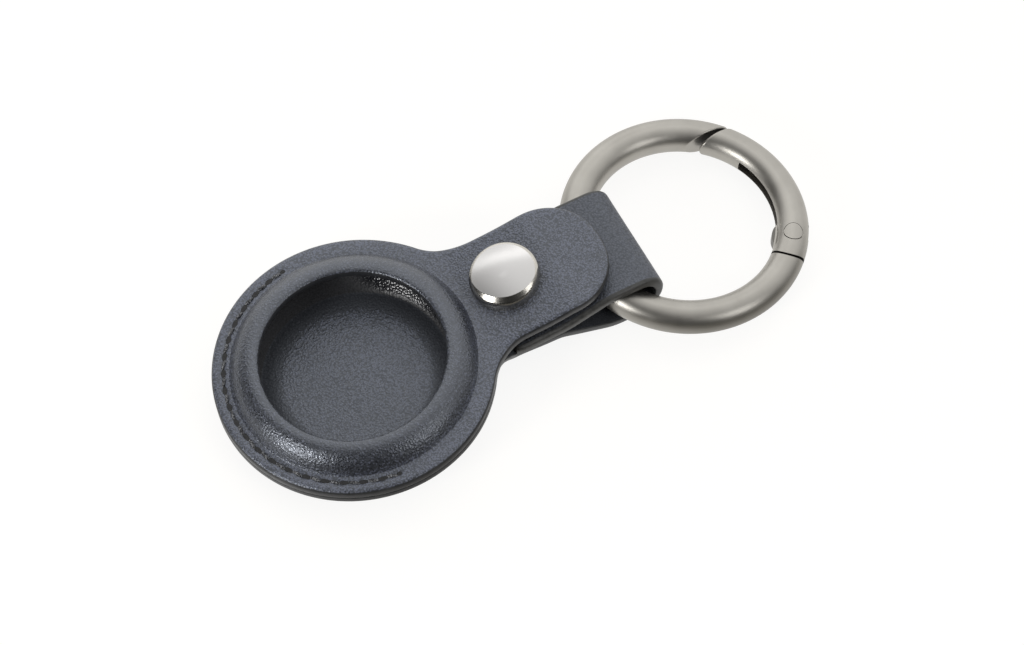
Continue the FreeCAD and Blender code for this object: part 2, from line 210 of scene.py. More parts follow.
# Moulded rim, smoother than the flat leather and darker with painted shade, and the flange, pressed down at
# its edge
rim_middle = 15.9
rim_smooth_start = 1.8
rim_smooth_end = 2.6
rim_shade_tone = 0.3
rim_smooth_and_shade_share = 0.55
rim_rough_drop = 0.1
rim_grain_share = 0.75
flange_press = 0.26

# Pocket: painted shade towards its wall, with a polished stretch beside the neck
wall_start = 10.6
wall_end = 13.8
shade_radius = 14.5
wall_tones = (0.35, 0.65)
wall_grain_strength = 0.9
wall_rough = 0.85
polished_rough = 0.24
polish_angle = 30.0
polish_start = 11.8
polish_end = 14.0
polish_low = 1.0
polish_high = 2.2

# Paint, thread and metal: scales are per metre, depths in millimetres
noise_span = (0.3, 0.7)
paint_scale = 900
paint_strength = 0.2
paint_depth = 0.1
paint_rough = (0.32, 0.46)
fibre_scale = 5000
fibre_rough_share = 0.6
fibre_and_glint_tones = (0.46, 0.64)
fibre_strength = 0.8
fibre_depth = 0.1
thread_rough = (0.28, 0.5)
brush_scale = 7000
brush_share = 0.5
brush_strength = 0.04
brush_depth = 0.05
plating_scale = 220
plating_span = (0.45, 1.0)
# Painted shade: darker on the knuckle, nearly black in the gate's seams
knuckle_shade_share = 0.65
seam_shade_colour = (0.012, 0.011, 0.01, 1.0)
seam_rough = 0.3
satin_scale = 6000
cap_tones = (0.2, 0.8)
cap_top_rough = (0.15, 0.2)
cap_edge_rough = 0.04

# Table, in metres; what the metal mirrors of it gets dark between two places on Y
white = (1.0, 1.0, 1.0, 1.0)
table_size = 6.0
table_colour = (1.0, 0.94, 0.82, 1.0)
table_glow = 1.06
table_glow_share = 0.83
mirrored_glow = 0.06
mirrored_dark_y = -0.03
mirrored_light_y = -0.01

# Room: brightness over the directions, dimmed on the left
room_bright_way = (0.42, 0.72, 0.55)
room_dark_place = -0.35
room_bright_place = 0.9
room_dark = 0.05
room_bright = 1.14
left_dark_place = -0.75
left_bright_place = -0.05
left_dark = 0.1

# Softboxes: name, place, aim, width and height in metres, and power in watts
softboxes = (
    ("back", (-0.054, 0.47, 0.614), (-0.29, 0.03, 0), (0.9, 0.09), 0.2),
    ("low_back", (-0.05, 0.75, 0.33), (0, 0, 0), (0.9, 0.2), 0.3),
    ("left_front", (-0.58, -0.125, 0.25), (-0.02, 0, 0), (0.18, 0.16), 1.7),
    ("right_front", (0.24, -0.55, 0.39), (0, 0, 0), (0.26, 0.36), 0.8),
)

# Camera, fitted to the photograph: lengths in metres, the sensor in millimetres
camera_distance = 0.560
camera_azimuth = -27.95
camera_elevation = 59.7
camera_target = (-0.002434, -0.00368, 0.005)
camera_clip_start = 0.01
sensor_width = 36.0
focal_pixels = 3806.0
photo_width = 1024.0

# Heights in the pouch frame, and other values that follow
rear_top = dish_depth + leather
front_top = rear_top + leather
rear_run = dish_depth - neck_drop
return_run = rear_run + leather + run_gap
return_top = return_run + leather
loop_top = loop_gap + leather * 2
stitch_radius = disc_radius - stitch_margin
stitch_count = int(math.radians(stitch_arc) * stitch_radius / stitch_pitch)
neck_shares = [2 * column / neck_columns - 1 for column in range(neck_columns + 1)]
thread_turns = [2 * math.pi * turn / thread_sides for turn in range(thread_sides)]

joint_places = {joint["name"]: Vector(joint["pos_m"]) for joint in frame["joints"]}
gate_axis = next(Vector(joint["axis"]) for joint in frame["joints"] if joint["name"] == "gate_open")


def turned(point, pivot, angle):
    """A point of the XZ plane turned about a pivot, from X towards Z."""
    bow = math.radians(angle)
    across = point[0] - pivot[0]
    along = point[1] - pivot[1]
    return (pivot[0] + across * math.cos(bow) - along * math.sin(bow),
            pivot[1] + across * math.sin(bow) + along * math.cos(bow))


def pouch_pivot():
    """Centre of the dish's bottom bend, about which the pouch is tilted on the table."""
    wall = math.atan2(dish_depth, dish_top_radius - dish_flat_radius)
    return (dish_bottom_bend * math.tan(wall / 2) - dish_flat_radius, dish_bottom_bend)


def on_table(x, z):
    """A point of the pouch frame's XZ plane in the table's frame."""
    return turned((x, z), pouch_pivot(), pouch_tilt_angle)


# Shift from the table's frame to the frame of the solids, read from the flap's hinge
home = joint_places["flap_lift"].x / mm - on_table(neck_line, front_top)[0]


def to_row(point):
    """A point of the table's frame, in millimetres, in the frame of the solids, in metres."""
    return Vector(((point[0] + home) * mm, point[1] * mm, point[2] * mm))


def laid(point):
    """A point of the pouch frame, in millimetres, in the frame of the solids, in metres."""
    x, z = on_table(point[0], point[2])
    return to_row((x, point[1], z))


def laid_direction(direction):
    """A direction of the pouch frame in the frame of the solids."""
    x, z = turned((direction[0], direction[2]), (0, 0), pouch_tilt_angle)
    return Vector((x, direction[1], z))


pouch_middle = laid((0, 0, 0))
pouch_along = laid_direction((1, 0, 0))
pouch_up = laid_direction((0, 0, 1))


def route(points, bends, run_step, arc_step):
    """Places along straight runs and tangent arcs: position, heading and left-hand normal."""
    headings = []
    for start, end in zip(points, points[1:]):
        run = math.dist(start, end)
        headings.append(((end[0] - start[0]) / run, (end[1] - start[1]) / run))
    places = []

    def add(point, heading):
        if not places or math.dist(point, places[-1][0]) >= run_step * same_place_share:
            places.append((point, heading, (-heading[1], heading[0])))

    def add_run(start, end, heading):
        steps = max(1, round(math.dist(start, end) / run_step))
        for step in range(steps + 1):
            share = step / steps
            add((start[0] + (end[0] - start[0]) * share, start[1] + (end[1] - start[1]) * share), heading)

    here = points[0]
    for corner, bend, before, after in zip(points[1:], bends, headings, headings[1:]):
        turn = math.atan2(before[0] * after[1] - before[1] * after[0],
                          before[0] * after[0] + before[1] * after[1])
        tangent = bend * math.tan(abs(turn) / 2)
        side = math.copysign(bend, turn)
        enter = (corner[0] - before[0] * tangent, corner[1] - before[1] * tangent)
        centre = (enter[0] - before[1] * side, enter[1] + before[0] * side)
        add_run(here, enter, before)
        steps = max(2, round(abs(math.degrees(turn)) / arc_step))
        for step in range(1, steps + 1):
            part = math.degrees(turn) * step / steps
            add(turned(enter, centre, part), turned(before, (0, 0), part))
        here = places[-1][0]
    add_run(here, points[-1], headings[-1])
    return places


def smooth_share(value, start, end):
    """Smooth step from 0 at start to 1 at end."""
    share = min(1.0, max(0.0, (value - start) / (end - start)))
    return share * share * (3 - 2 * share)


class Sheet:
    """A sheet of leather: outer points, directions into the thickness, faces and edge loops.

    The sets hold the faces, or points of the edge, that take a slot of their own: a painted shadow under
    the flap, painted shade in the pocket, or a painted highlight on the edge.
    """

    def __init__(self):
        self.points = []
        self.inward = []
        self.faces = []
        self.flap_shadow = set()
        self.shaded = set()
        self.highlit = set()
        self.loops = []

    def add(self, point, inward):
        """A new outer point; its index."""
        self.points.append(Vector(point))
        self.inward.append(Vector(inward).normalized())
        return len(self.points) - 1

    def grid(self, rows, closed):
        """Faces between rows of point indices, joined end to start where the rows are closed."""
        for low, high in zip(rows, rows[1:]):
            count = len(low)
            for index in range(count if closed else count - 1):
                after = (index + 1) % count
                self.faces.append((low[index], low[after], high[after], high[index]))

    def loop(self, indices, outward, outer_slot, inner_slot):
        """An edge, its ways out, and the slots of its outer rounding and inner corner."""
        ways = [Vector(direction).normalized() for direction in outward]
        self.loops.append((indices, ways, outer_slot, inner_slot))


def edge_depths(thickness):
    """Section of a rounded edge: how far out and how deep each row of points lies."""
    curve = edge_round * mm
    seam = seam_round * mm
    quarter = [math.radians(angle) for angle in edge_round_angles]
    depths = [(curve * math.sin(bow), curve * (1 - math.cos(bow))) for bow in quarter]
    depths += [(curve - seam * (1 - math.sin(bow)), thickness - seam * (1 - math.cos(bow)))
               for bow in reversed(quarter)]
    return depths + [(curve - seam, thickness)]


def sheet_object(name, sheet, thickness, materials):
    """Closed mesh of a sheet with rounded edges."""
    count = len(sheet.points)
    points = list(sheet.points)
    points += [point + inward * thickness for point, inward in zip(sheet.points, sheet.inward)]
    faces = []
    # Faces under the flap take a painted shadow, and the pocket's wall inside takes painted shade
    for place, face in enumerate(sheet.faces):
        faces.append((face, flap_shadow_face if place in sheet.flap_shadow else outer_face))
        inner = tuple(count + index for index in reversed(face))
        faces.append((inner, pocket_shade_side if place in sheet.shaded else inner_face))
    corner_rows = len(edge_round_angles)
    outer_rows = corner_rows // 2
    for indices, outward, outer_slot, inner_slot in sheet.loops:
        rows = [list(indices)]
        for reach, depth in edge_depths(thickness):
            row = []
            for index, direction in zip(indices, outward):
                row.append(len(points))
                points.append(sheet.points[index] + direction * reach + sheet.inward[index] * depth)
            rows.append(row)
        rows.append([count + index for index in indices])
        slots = [outer_slot] * outer_rows + [painted_edge] * (corner_rows - outer_rows + 1)
        slots += [inner_slot] * corner_rows + [inner_face]
        for low, high, slot in zip(rows, rows[1:], slots):
            for step in range(len(low)):
                after = (step + 1) % len(low)
                # Edge points of the strap's upper run take a painted highlight on their painted rows
                highlit = slot == painted_edge and indices[step] in sheet.highlit
                face = (low[step], low[after], high[after], high[step])
                faces.append((face, highlight_side if highlit else slot))
    return mesh_object(name, points, faces, materials)


def mesh_object(name, points, faces, materials):
    """A smooth-shaded object from points and from faces with their slots."""
    mesh = bpy.data.meshes.new(name)
    mesh.from_pydata([tuple(point) for point in points], [], [face for face, slot in faces])
    for material in materials:
        mesh.materials.append(material)
    mesh.polygons.foreach_set("material_index", [slot for face, slot in faces])
    work = bmesh.new()
    work.from_mesh(mesh)
    bmesh.ops.recalc_face_normals(work, faces=work.faces)
    work.to_mesh(mesh)
    work.free()
    mesh.polygons.foreach_set("use_smooth", [True] * len(mesh.polygons))
    piece = bpy.data.objects.new(name, mesh)
    bpy.context.scene.collection.objects.link(piece)
    return piece


class Keyhole:
    """Plan outline of a disc with a tab that grows out of it through two hollow fillets."""

    def __init__(self, half_width, fillet):
        self.half = half_width
        self.fillet = fillet
        self.fillet_y = half_width + fillet
        self.fillet_x = math.sqrt((disc_radius + fillet) ** 2 - self.fillet_y ** 2)
        self.disc_angle = math.atan2(self.fillet_y, self.fillet_x)
        self.neck_half = self.width_at(neck_line)
        self.neck_angle = math.atan2(self.neck_half, neck_line)

    def width_at(self, x):
        """Half width of the tab at a place along it."""
        if x >= self.fillet_x:
            return self.half
        return self.fillet_y - math.sqrt(self.fillet ** 2 - (self.fillet_x - x) ** 2)

    def outward_at(self, x):
        """Direction out of the tab's edge on its +Y side, in plan."""
        if x >= self.fillet_x:
            return (0.0, 1.0)
        y = self.width_at(x)
        return ((self.fillet_x - x) / self.fillet, (self.fillet_y - y) / self.fillet)

    def edge(self, angle):
        """Outline point in a direction from the disc's centre, and the way out there."""
        side = math.copysign(1.0, math.sin(angle))
        lean = abs(math.atan2(math.sin(angle), math.cos(angle)))
        if lean >= self.disc_angle:
            way = (math.cos(angle), math.sin(angle))
            return (disc_radius * way[0], disc_radius * way[1]), way
        along = self.fillet_x * math.cos(lean) + self.fillet_y * math.sin(lean)
        centre = self.fillet_x ** 2 + self.fillet_y ** 2
        reach = along - math.sqrt(along ** 2 - centre + self.fillet ** 2)
        x = reach * math.cos(lean)
        y = reach * math.sin(lean)
        return (x, side * y), ((self.fillet_x - x) / self.fillet, side * (self.fillet_y - y) / self.fillet)


def stitch_angles():
    """Angles of the stitches round the window's axis."""
    shares = [(index + 0.5) / stitch_count - 0.5 for index in range(stitch_count)]
    return [math.radians(180 + stitch_arc * share) for share in shares]


def stitch_sink(radius, angle):
    """Depth of the sewn groove and of the needle holes at a place on the flange."""
    lean = abs(math.degrees(math.atan2(math.sin(angle - math.pi), math.cos(angle - math.pi))))
    end = stitch_arc / 2
    share = 1 - smooth_share(lean, end - stitch_fade_angle, end + stitch_fade_angle)
    if share <= 0:
        return 0.0
    off = radius - stitch_radius
    groove = groove_depth * math.exp(-(off / groove_width) ** 2)
    pitch = math.radians(stitch_arc) / stitch_count
    place = (angle - (math.pi - math.radians(stitch_arc) / 2)) / pitch
    along = (place - round(place)) * pitch * stitch_radius
    hole = hole_depth * math.exp(-(off ** 2 + along ** 2) / hole_width ** 2)
    return share * (groove + hole)


def wave(point, seed):
    """Slow unevenness of the leather at a place, in millimetres."""
    return wave_height * noise.noise(Vector(point) / wave_length + wave_shift * seed)


def sway(x):
    """Sideways lean of the leather near the neck, in millimetres."""
    return neck_sway * math.exp(-((x - neck_sway_place) / neck_sway_width) ** 2)


def disc_angles(plan):
    """Angles of the disc's columns: those that end on the neck line, then the rest."""
    start = plan.neck_angle
    sweep = 2 * math.pi - 2 * start
    angles = [math.atan2(plan.neck_half * share, neck_line) for share in neck_shares]
    return angles + [start + sweep * step / disc_columns for step in range(1, disc_columns)]


def disc_outline(plan):
    """Plan end of each of the disc's columns, where the edge's rounding starts, and the way out."""
    way = plan.outward_at(neck_line)
    outline = []
    for share in neck_shares:
        x = neck_line - way[0] * edge_round * abs(share)
        outline.append(((x, share * (plan.neck_half - way[1] * edge_round)), way))
    for angle in disc_angles(plan)[len(neck_shares):]:
        edge, way = plan.edge(angle)
        outline.append(((edge[0] - way[0] * edge_round, edge[1] - way[1] * edge_round), way))
    return outline


def profile_rings(sheet, plan, places, inward_sign, seed):
    """Rings of points along a radial profile."""
    rings = []
    for (radius, height), heading, normal in places:
        ring = []
        for angle in disc_angles(plan):
            x = radius * math.cos(angle)
            y = radius * math.sin(angle)
            z = height + stitch_sink(radius, angle) * inward_sign
            spot = (x, y + sway(x), z + wave((x, y, z), seed))
            slope = normal[0] * inward_sign
            inward = (slope * math.cos(angle), slope * math.sin(angle), normal[1] * inward_sign)
            ring.append(sheet.add(laid(spot), laid_direction(inward)))
        rings.append(ring)
    return rings


def disc_patch(sheet, plan, places, inward_sign, seed):
    """Round part of a panel, from rings along a radial profile out to the keyhole outline.

    Returns the rings, the points on the neck line, and the points of the outline with the ways out there.
    """
    rings = profile_rings(sheet, plan, places, inward_sign, seed)
    angles = disc_angles(plan)
    outline = disc_outline(plan)
    last_radius, height = places[-1][0]
    for step in range(1, flange_rings + 1):
        share = step / flange_rings
        ring = []
        for angle, (edge, way) in zip(angles, outline):
            x = last_radius * math.cos(angle) * (1 - share) + edge[0] * share
            y = last_radius * math.sin(angle) * (1 - share) + edge[1] * share
            sink = stitch_sink(math.hypot(x, y), math.atan2(y, x)) * inward_sign
            spot = (x, y + sway(x), height + sink + wave((x, y, height), seed))
            ring.append(sheet.add(laid(spot), pouch_up * inward_sign))
        rings.append(ring)
    first_face = len(sheet.faces)
    sheet.grid(rings, True)
    # Inner faces past shade_radius take the pocket's painted shade
    inner_rings = sum(1 for (radius, height), heading, normal in places if radius < shade_radius)
    sheet.shaded.update(range(first_face + inner_rings * len(angles), len(sheet.faces)))
    split = len(neck_shares)
    edge_ways = [laid_direction((way[0], way[1], 0)) for edge, way in outline[split:]]
    return rings, rings[-1][:split], rings[-1][split:], edge_ways


def tab_edge(rows, left_ways, end_way):
    """Edge of a tab, out along its right side, across its end and back, with the ways out."""
    right_ways = [Vector((way.x, -way.y, way.z)) for way in left_ways]
    end_row = rows[-1][1:-1]
    indices = [row[0] for row in rows] + end_row + [row[-1] for row in reversed(rows)]
    return indices, right_ways + [end_way] * len(end_row) + list(reversed(left_ways))


def bent_run(x, corner, half):
    """Length past a corner rounded over a half width on either side, with its slope."""
    share = min(1.0, max(0.0, (x - corner + half) / (half * 2)))
    return half * share ** 2 + max(0.0, x - corner - half), share


def flap_height(x):
    """Height of the flap's top face along it, with its slope."""
    pitch = math.radians(flap_pitch_angle)
    first, first_slope = bent_run(x, neck_line + neck_flat, flap_neck_bend * math.tan(pitch / 2))
    second, second_slope = bent_run(x, flap_level_start, flap_level_bend * math.tan(pitch / 2))
    rise = math.tan(pitch)
    return front_top + rise * (first - second), rise * (first_slope - second_slope)


def flap_covers(point):
    """Whether a finished point lies under the flap, clear of its edge."""
    x = turned((point.x / mm - home, point.z / mm), pouch_pivot(), -pouch_tilt_angle)[0]
    past = max(0.0, x - flap_end + flap_corner)
    aside = max(0.0, abs(point.y / mm) - flap_width / 2 + flap_corner)
    return math.hypot(past, aside) < flap_corner - seam_round


def flap_stations(plan):
    """Places along the flap: how far out, half width, and the way out of the edge in plan."""
    straight = flap_end - flap_corner
    stations = []
    for step in range(1, flap_rows + 1):
        x = neck_line + (straight - neck_line) * step / flap_rows
        stations.append((x, plan.width_at(x), plan.outward_at(x)))
    for step in range(1, flap_corner_rows + 1):
        bow = math.pi / 2 * step / flap_corner_rows
        x = straight + flap_corner * math.sin(bow)
        half = plan.half - flap_corner * (1 - math.cos(bow))
        stations.append((x, half, (math.sin(bow), math.cos(bow))))
    return stations


def flap_patch(sheet, plan, neck_row):
    """Flap from the neck line to its round end; its edge with the ways out."""
    straight = flap_end - flap_corner
    rows = [neck_row]
    left_ways = [laid_direction((*plan.outward_at(neck_line), 0))]
    for x, half, way in flap_stations(plan):
        height, rise = flap_height(x)
        inward = laid_direction((rise, 0, -1))
        edge_y = half - way[1] * edge_round
        row = []
        for share in neck_shares:
            along = x - way[0] * edge_round * (abs(share) if x < straight else 1)
            y = edge_y * share
            lift = wave((along, y, height), front_seed)
            spot = (along, y + sway(along), flap_height(along)[0] + lift)
            row.append(sheet.add(laid(spot), inward))
        rows.append(row)
        left_ways.append(laid_direction((way[0], way[1], way[0] * rise)))
    sheet.grid(rows, False)
    return tab_edge(rows, left_ways, pouch_along)


def rim_places():
    """Places along the rim's outer face, from the window to the flange."""
    crest = front_top + rim_height
    slope = rim_crown / (rim_crown_radius - window_radius)
    profile = [(window_radius + edge_round, crest + slope * edge_round),
               (rim_crown_radius, crest + rim_crown), (rim_brow_radius, crest - rim_brow_drop),
               (rim_crease_radius, front_top), (flange_start, front_top)]
    return route(profile, [crown_bend, brow_bend, crease_bend], rim_step, rim_step_angle)


def front_leather(materials):
    """Front panel: window rim, flange and flap, one cut of leather."""
    plan = Keyhole(flap_width / 2, neck_fillet)
    places = rim_places()
    sheet = Sheet()
    rings, neck_row, edge_row, edge_ways = disc_patch(sheet, plan, places, -1, front_seed)
    heading = places[0][1]
    window_ways = []
    for angle in disc_angles(plan):
        way = (-heading[0] * math.cos(angle), -heading[0] * math.sin(angle), -heading[1])
        window_ways.append(laid_direction(way))
    sheet.loop(list(reversed(rings[0])), list(reversed(window_ways)), outer_face, painted_edge)
    flap_row, flap_ways = flap_patch(sheet, plan, neck_row)
    # The inner corner of this edge takes a painted highlight, a light line along the bottom
    sheet.loop(edge_row + flap_row, edge_ways + flap_ways, outer_face, highlight_side)
    piece = sheet_object("front_leather", sheet, leather * mm, materials)
    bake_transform(piece)
    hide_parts("front_cover", "front_lining", "front_flap", "flap_lining")


def strap_stations():
    """Places along the strap's outer face, from the neck line to its end."""
    points = [on_table(neck_line, dish_depth), on_table(neck_line + neck_flat, dish_depth),
              on_table(neck_bend_end, rear_run), on_table(strap_kink, rear_run), (loop_floor_start, 0),
              (loop_tip, 0), (loop_tip, loop_top), (loop_top_start, loop_top),
              on_table(return_kink, return_top), on_table(return_end, return_top)]
    bends = [neck_top_bend, neck_low_bend, kink_bend, floor_bend, loop_top - loop_top_bend, loop_top_bend,
             top_bend, return_bend]
    return route(points, bends, strap_step, bend_step_angle)


def mark_upper_run(sheet, rows, stations, first_face):
    """Mark the faces of the strap's upper run under the flap, which take a painted shadow, and the points
    of the run's edges, which take a painted highlight.
    """
    for place in range(first_face, len(sheet.faces)):
        step = (place - first_face) // neck_columns
        if stations[step + 1][1][0] < 0 and flap_covers(sheet.points[sheet.faces[place][0]]):
            sheet.flap_shadow.add(place)
    for row, (place, heading, normal) in zip(rows, stations):
        if heading[0] < 0:
            sheet.highlit.update((row[0], row[-1]))


def strap_patch(sheet, plan, neck_row):
    """Strap from the neck line to its end under the flap; its edge with the ways out."""
    stations = strap_stations()
    rows = [neck_row]
    left_ways = [laid_direction((*plan.outward_at(neck_line), 0))]
    passed_neck = False
    for (x, z), heading, normal in stations[1:]:
        flat = turned((x, z), pouch_pivot(), -pouch_tilt_angle)[0]
        passed_neck = passed_neck or flat > plan.fillet_x
        half = plan.half if passed_neck else plan.width_at(flat)
        way = (0.0, 1.0) if passed_neck else plan.outward_at(flat)
        edge_y = half - way[1] * edge_round
        lean = 0 if heading[0] < 0 else sway(flat)
        row = []
        for share in neck_shares:
            y = edge_y * share
            lift = wave((x, y, z), rear_seed)
            back = way[0] * edge_round * abs(share)
            spot = (x - heading[0] * back + normal[0] * lift, y + lean,
                    max(0.0, z - heading[1] * back + normal[1] * lift))
            row.append(sheet.add(to_row(spot), (normal[0], 0, normal[1])))
        rows.append(row)
        left_ways.append(Vector((way[0] * heading[0], way[1], way[0] * heading[1])))
    first_face = len(sheet.faces)
    sheet.grid(rows, False)
    mark_upper_run(sheet, rows, stations, first_face)
    end = stations[-1][1]
    left_ways[-1] = Vector((end[0], 1, end[1]))
    return tab_edge(rows, left_ways, Vector((end[0], 0, end[1])))


def rear_leather(materials):
    """Rear panel and strap, one cut of leather with a loop round the ring's bar."""
    plan = Keyhole(strap_width / 2, rear_neck_fillet)
    profile = [(dish_hub_radius, 0), (dish_flat_radius, 0), (dish_top_radius, dish_depth),
               (flange_start, dish_depth)]
    places = route(profile, [dish_bottom_bend, dish_top_bend], dish_step, bend_step_angle)
    sheet = Sheet()
    rings, neck_row, edge_row, edge_ways = disc_patch(sheet, plan, places, 1, rear_seed)
    hub = sheet.add(pouch_middle, pouch_up)
    for start, end in zip(rings[0], rings[0][1:] + rings[0][:1]):
        sheet.faces.append((hub, start, end))
    strap_row, strap_ways = strap_patch(sheet, plan, neck_row)
    sheet.loop(edge_row + strap_row, edge_ways + strap_ways, painted_edge, painted_edge)
    piece = sheet_object("rear_leather", sheet, leather * mm, materials)
    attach(piece, "pouch")
    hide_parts("rear_panel", "rear_lining", "strap_loop", "strap_lining")


def seam_ways(angle):
    """Directions along the seam and out of the disc at an angle."""
    return Vector((-math.sin(angle), math.cos(angle), 0)), Vector((math.cos(angle), math.sin(angle), 0))


def add_stitch(points, faces, height, side, index, angle):
    """One slightly slanted stitch that rises from a needle hole and dives into the next."""
    tangent, out = seam_ways(angle)
    wander = noise.noise(Vector((index * stitch_pitch, side, stitch_slant)))
    start = len(points)
    for step in range(thread_steps + 1):
        share = 2 * step / thread_steps - 1
        rise = thread_rise - (thread_rise + thread_dive) * share ** 4
        swell = 1 + thread_swell_share * wander - thread_taper_share * share ** 4
        slant = share * stitch_slant * (1 + wander)
        middle = out * (stitch_radius + slant) + tangent * (share * stitch_length / 2)
        middle.z = height + side * (rise - groove_depth)
        for bow in thread_turns:
            spot = middle + out * (thread_radius * swell * math.cos(bow))
            spot.z += side * thread_radius * swell * math.sin(bow)
            points.append(laid(spot))
    last = start + thread_steps * thread_sides
    for low in range(start, last, thread_sides):
        high = low + thread_sides
        for turn in range(thread_sides):
            after = (turn + 1) % thread_sides
            faces.append(((low + turn, low + after, high + after, high + turn), thread_slot))
    for end in (start, last):
        faces.append((tuple(range(end, end + thread_sides)), thread_slot))


def add_hole(points, faces, height, side, angle):
    """One needle hole: an oval of painted shade just under the leather's face."""
    tangent, out = seam_ways(angle)
    start = len(points)
    for bow in thread_turns:
        reach = stitch_radius + hole_breadth * math.cos(bow)
        spot = out * reach + tangent * (hole_length * math.sin(bow))
        spot.z = height - side * hole_sink
        points.append(laid(spot))
    faces.append((tuple(range(start, start + thread_sides)), hole_shade_slot))


def stitch_row(name, node, height, side, materials):
    """Sewn stitches along the seam's arc on one face, between needle holes of painted shade."""
    points = []
    faces = []
    angles = stitch_angles()
    for index, angle in enumerate(angles):
        add_stitch(points, faces, height, side, index, angle)
    half_pitch = math.radians(stitch_arc) / stitch_count / 2
    for angle in [angles[0] - half_pitch] + [angle + half_pitch for angle in angles]:
        add_hole(points, faces, height, side, angle)
    piece = mesh_object(name, points, faces, materials)
    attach(piece, "pouch")
    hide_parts(node)


class Nodes:
    """Shading nodes under construction. A source is a plain value or another node's output."""

    def __init__(self, tree):
        self.tree = tree

    def join(self, socket, source):
        """Give a socket its source."""
        if isinstance(source, bpy.types.NodeSocket):
            self.tree.links.new(source, socket)
        else:
            socket.default_value = source

    def node(self, kind, *sources, **settings):
        """A new node with its settings, and with sources for its first sockets in order."""
        made = self.tree.nodes.new(kind)
        for key, value in settings.items():
            setattr(made, key, value)
        for socket, source in zip(made.inputs, sources):
            self.join(socket, source)
        return made

    def feed(self, made, **sources):
        """Sources for a node's sockets by name, with underscores for spaces; the node's outputs."""
        for key, source in sources.items():
            self.join(made.inputs[key.replace("_", " ")], source)
        return made.outputs

    def math(self, operation, *sources):
        """A plain operation on values."""
        return self.node("ShaderNodeMath", *sources, operation=operation).outputs["Value"]

    def add(self, first, second, share):
        """first + second * share"""
        return self.math("MULTIPLY_ADD", second, share, first)

    def vector(self, operation, *sources):
        """An operation on vectors; the node's outputs."""
        return self.node("ShaderNodeVectorMath", *sources, operation=operation).outputs

    def range(self, source, low, high, to_low=0.0, to_high=1.0, blend="LINEAR"):
        """A source's span mapped to another span, and held at its ends."""
        made = self.node("ShaderNodeMapRange", source, low, high, to_low, to_high, interpolation_type=blend)
        return made.outputs["Result"]

    def mix(self, share, first, second):
        """Colour that goes from the first to the second."""
        made = self.node("ShaderNodeMix", share, data_type="RGBA")
        sockets = {socket.identifier: socket for socket in [*made.inputs, *made.outputs]}
        self.join(sockets["A_Color"], first)
        self.join(sockets["B_Color"], second)
        return sockets["Result_Color"]

    def ramp(self, source, tones, dark, light):
        """Colour from dark to light between two tones of the source."""
        made = self.node("ShaderNodeValToRGB", source)
        for element, tone, colour in zip(made.color_ramp.elements, tones, (dark, light)):
            element.position = tone
            element.color = (*colour, 1.0)
        return made.outputs["Color"]


class Shader(Nodes):
    """A procedural material under construction."""

    def __init__(self, name):
        self.material = bpy.data.materials.new(name)
        self.material.use_nodes = True
        super().__init__(self.material.node_tree)
        self.surface = self.tree.nodes["Principled BSDF"]
        self.place = self.node("ShaderNodeTexCoord").outputs["Object"]

    def paint(self, **sources):
        """Sources for the surface's sockets."""
        self.feed(self.surface, **sources)

    def noise(self, scale, detail, rough=0.5):
        """Cloudy noise."""
        made = self.node("ShaderNodeTexNoise")
        return self.feed(made, Vector=self.place, Scale=scale, Detail=detail, Roughness=rough)["Fac"]

    def cells(self, scale, smoothness):
        """Distance from the middles of irregular cells."""
        made = self.node("ShaderNodeTexVoronoi", feature="SMOOTH_F1")
        return self.feed(made, Vector=self.place, Scale=scale, Smoothness=smoothness)["Distance"]

    def distance(self, point, axis):
        """Distance of the shaded place from a line through a point."""
        away = self.vector("SUBTRACT", self.place, point)["Vector"]
        across = self.vector("CROSS_PRODUCT", away, axis)["Vector"]
        return self.vector("LENGTH", across)["Value"]

    def along(self, point, direction):
        """How far the shaded place lies from a point along a direction."""
        away = self.vector("SUBTRACT", self.place, point)["Vector"]
        return self.vector("DOT_PRODUCT", away, direction)["Value"]

    def bump(self, height, strength, depth):
        """Relief of the surface."""
        made = self.node("ShaderNodeBump")
        self.paint(Normal=self.feed(made, Strength=strength, Distance=depth, Height=height)["Normal"])


def grain(shader):
    """Pebbles and creases of the printed grain, and the height that they make together."""
    pebble = shader.cells(pebble_scale, pebble_smoothness)
    crease = shader.noise(crease_scale, detail=1)
    height = shader.add(shader.range(pebble, 0.0, pebble_end, 1.0, 0.0), crease, crease_height_share)
    return pebble, crease, height


def edge_press(shader, from_axis):
    """1 at the pouch's pressed edge, falling to 0 at the rim's foot and at the neck."""
    along = shader.along(pouch_middle, pouch_along)
    off_neck = shader.range(along, disc_radius / 2 * mm, neck_line * mm, 1.0, 0.0)
    pressed = shader.range(from_axis, flange_start * mm, disc_radius * mm)
    return shader.math("MULTIPLY", shader.math("MULTIPLY", pressed, pressed), off_neck)


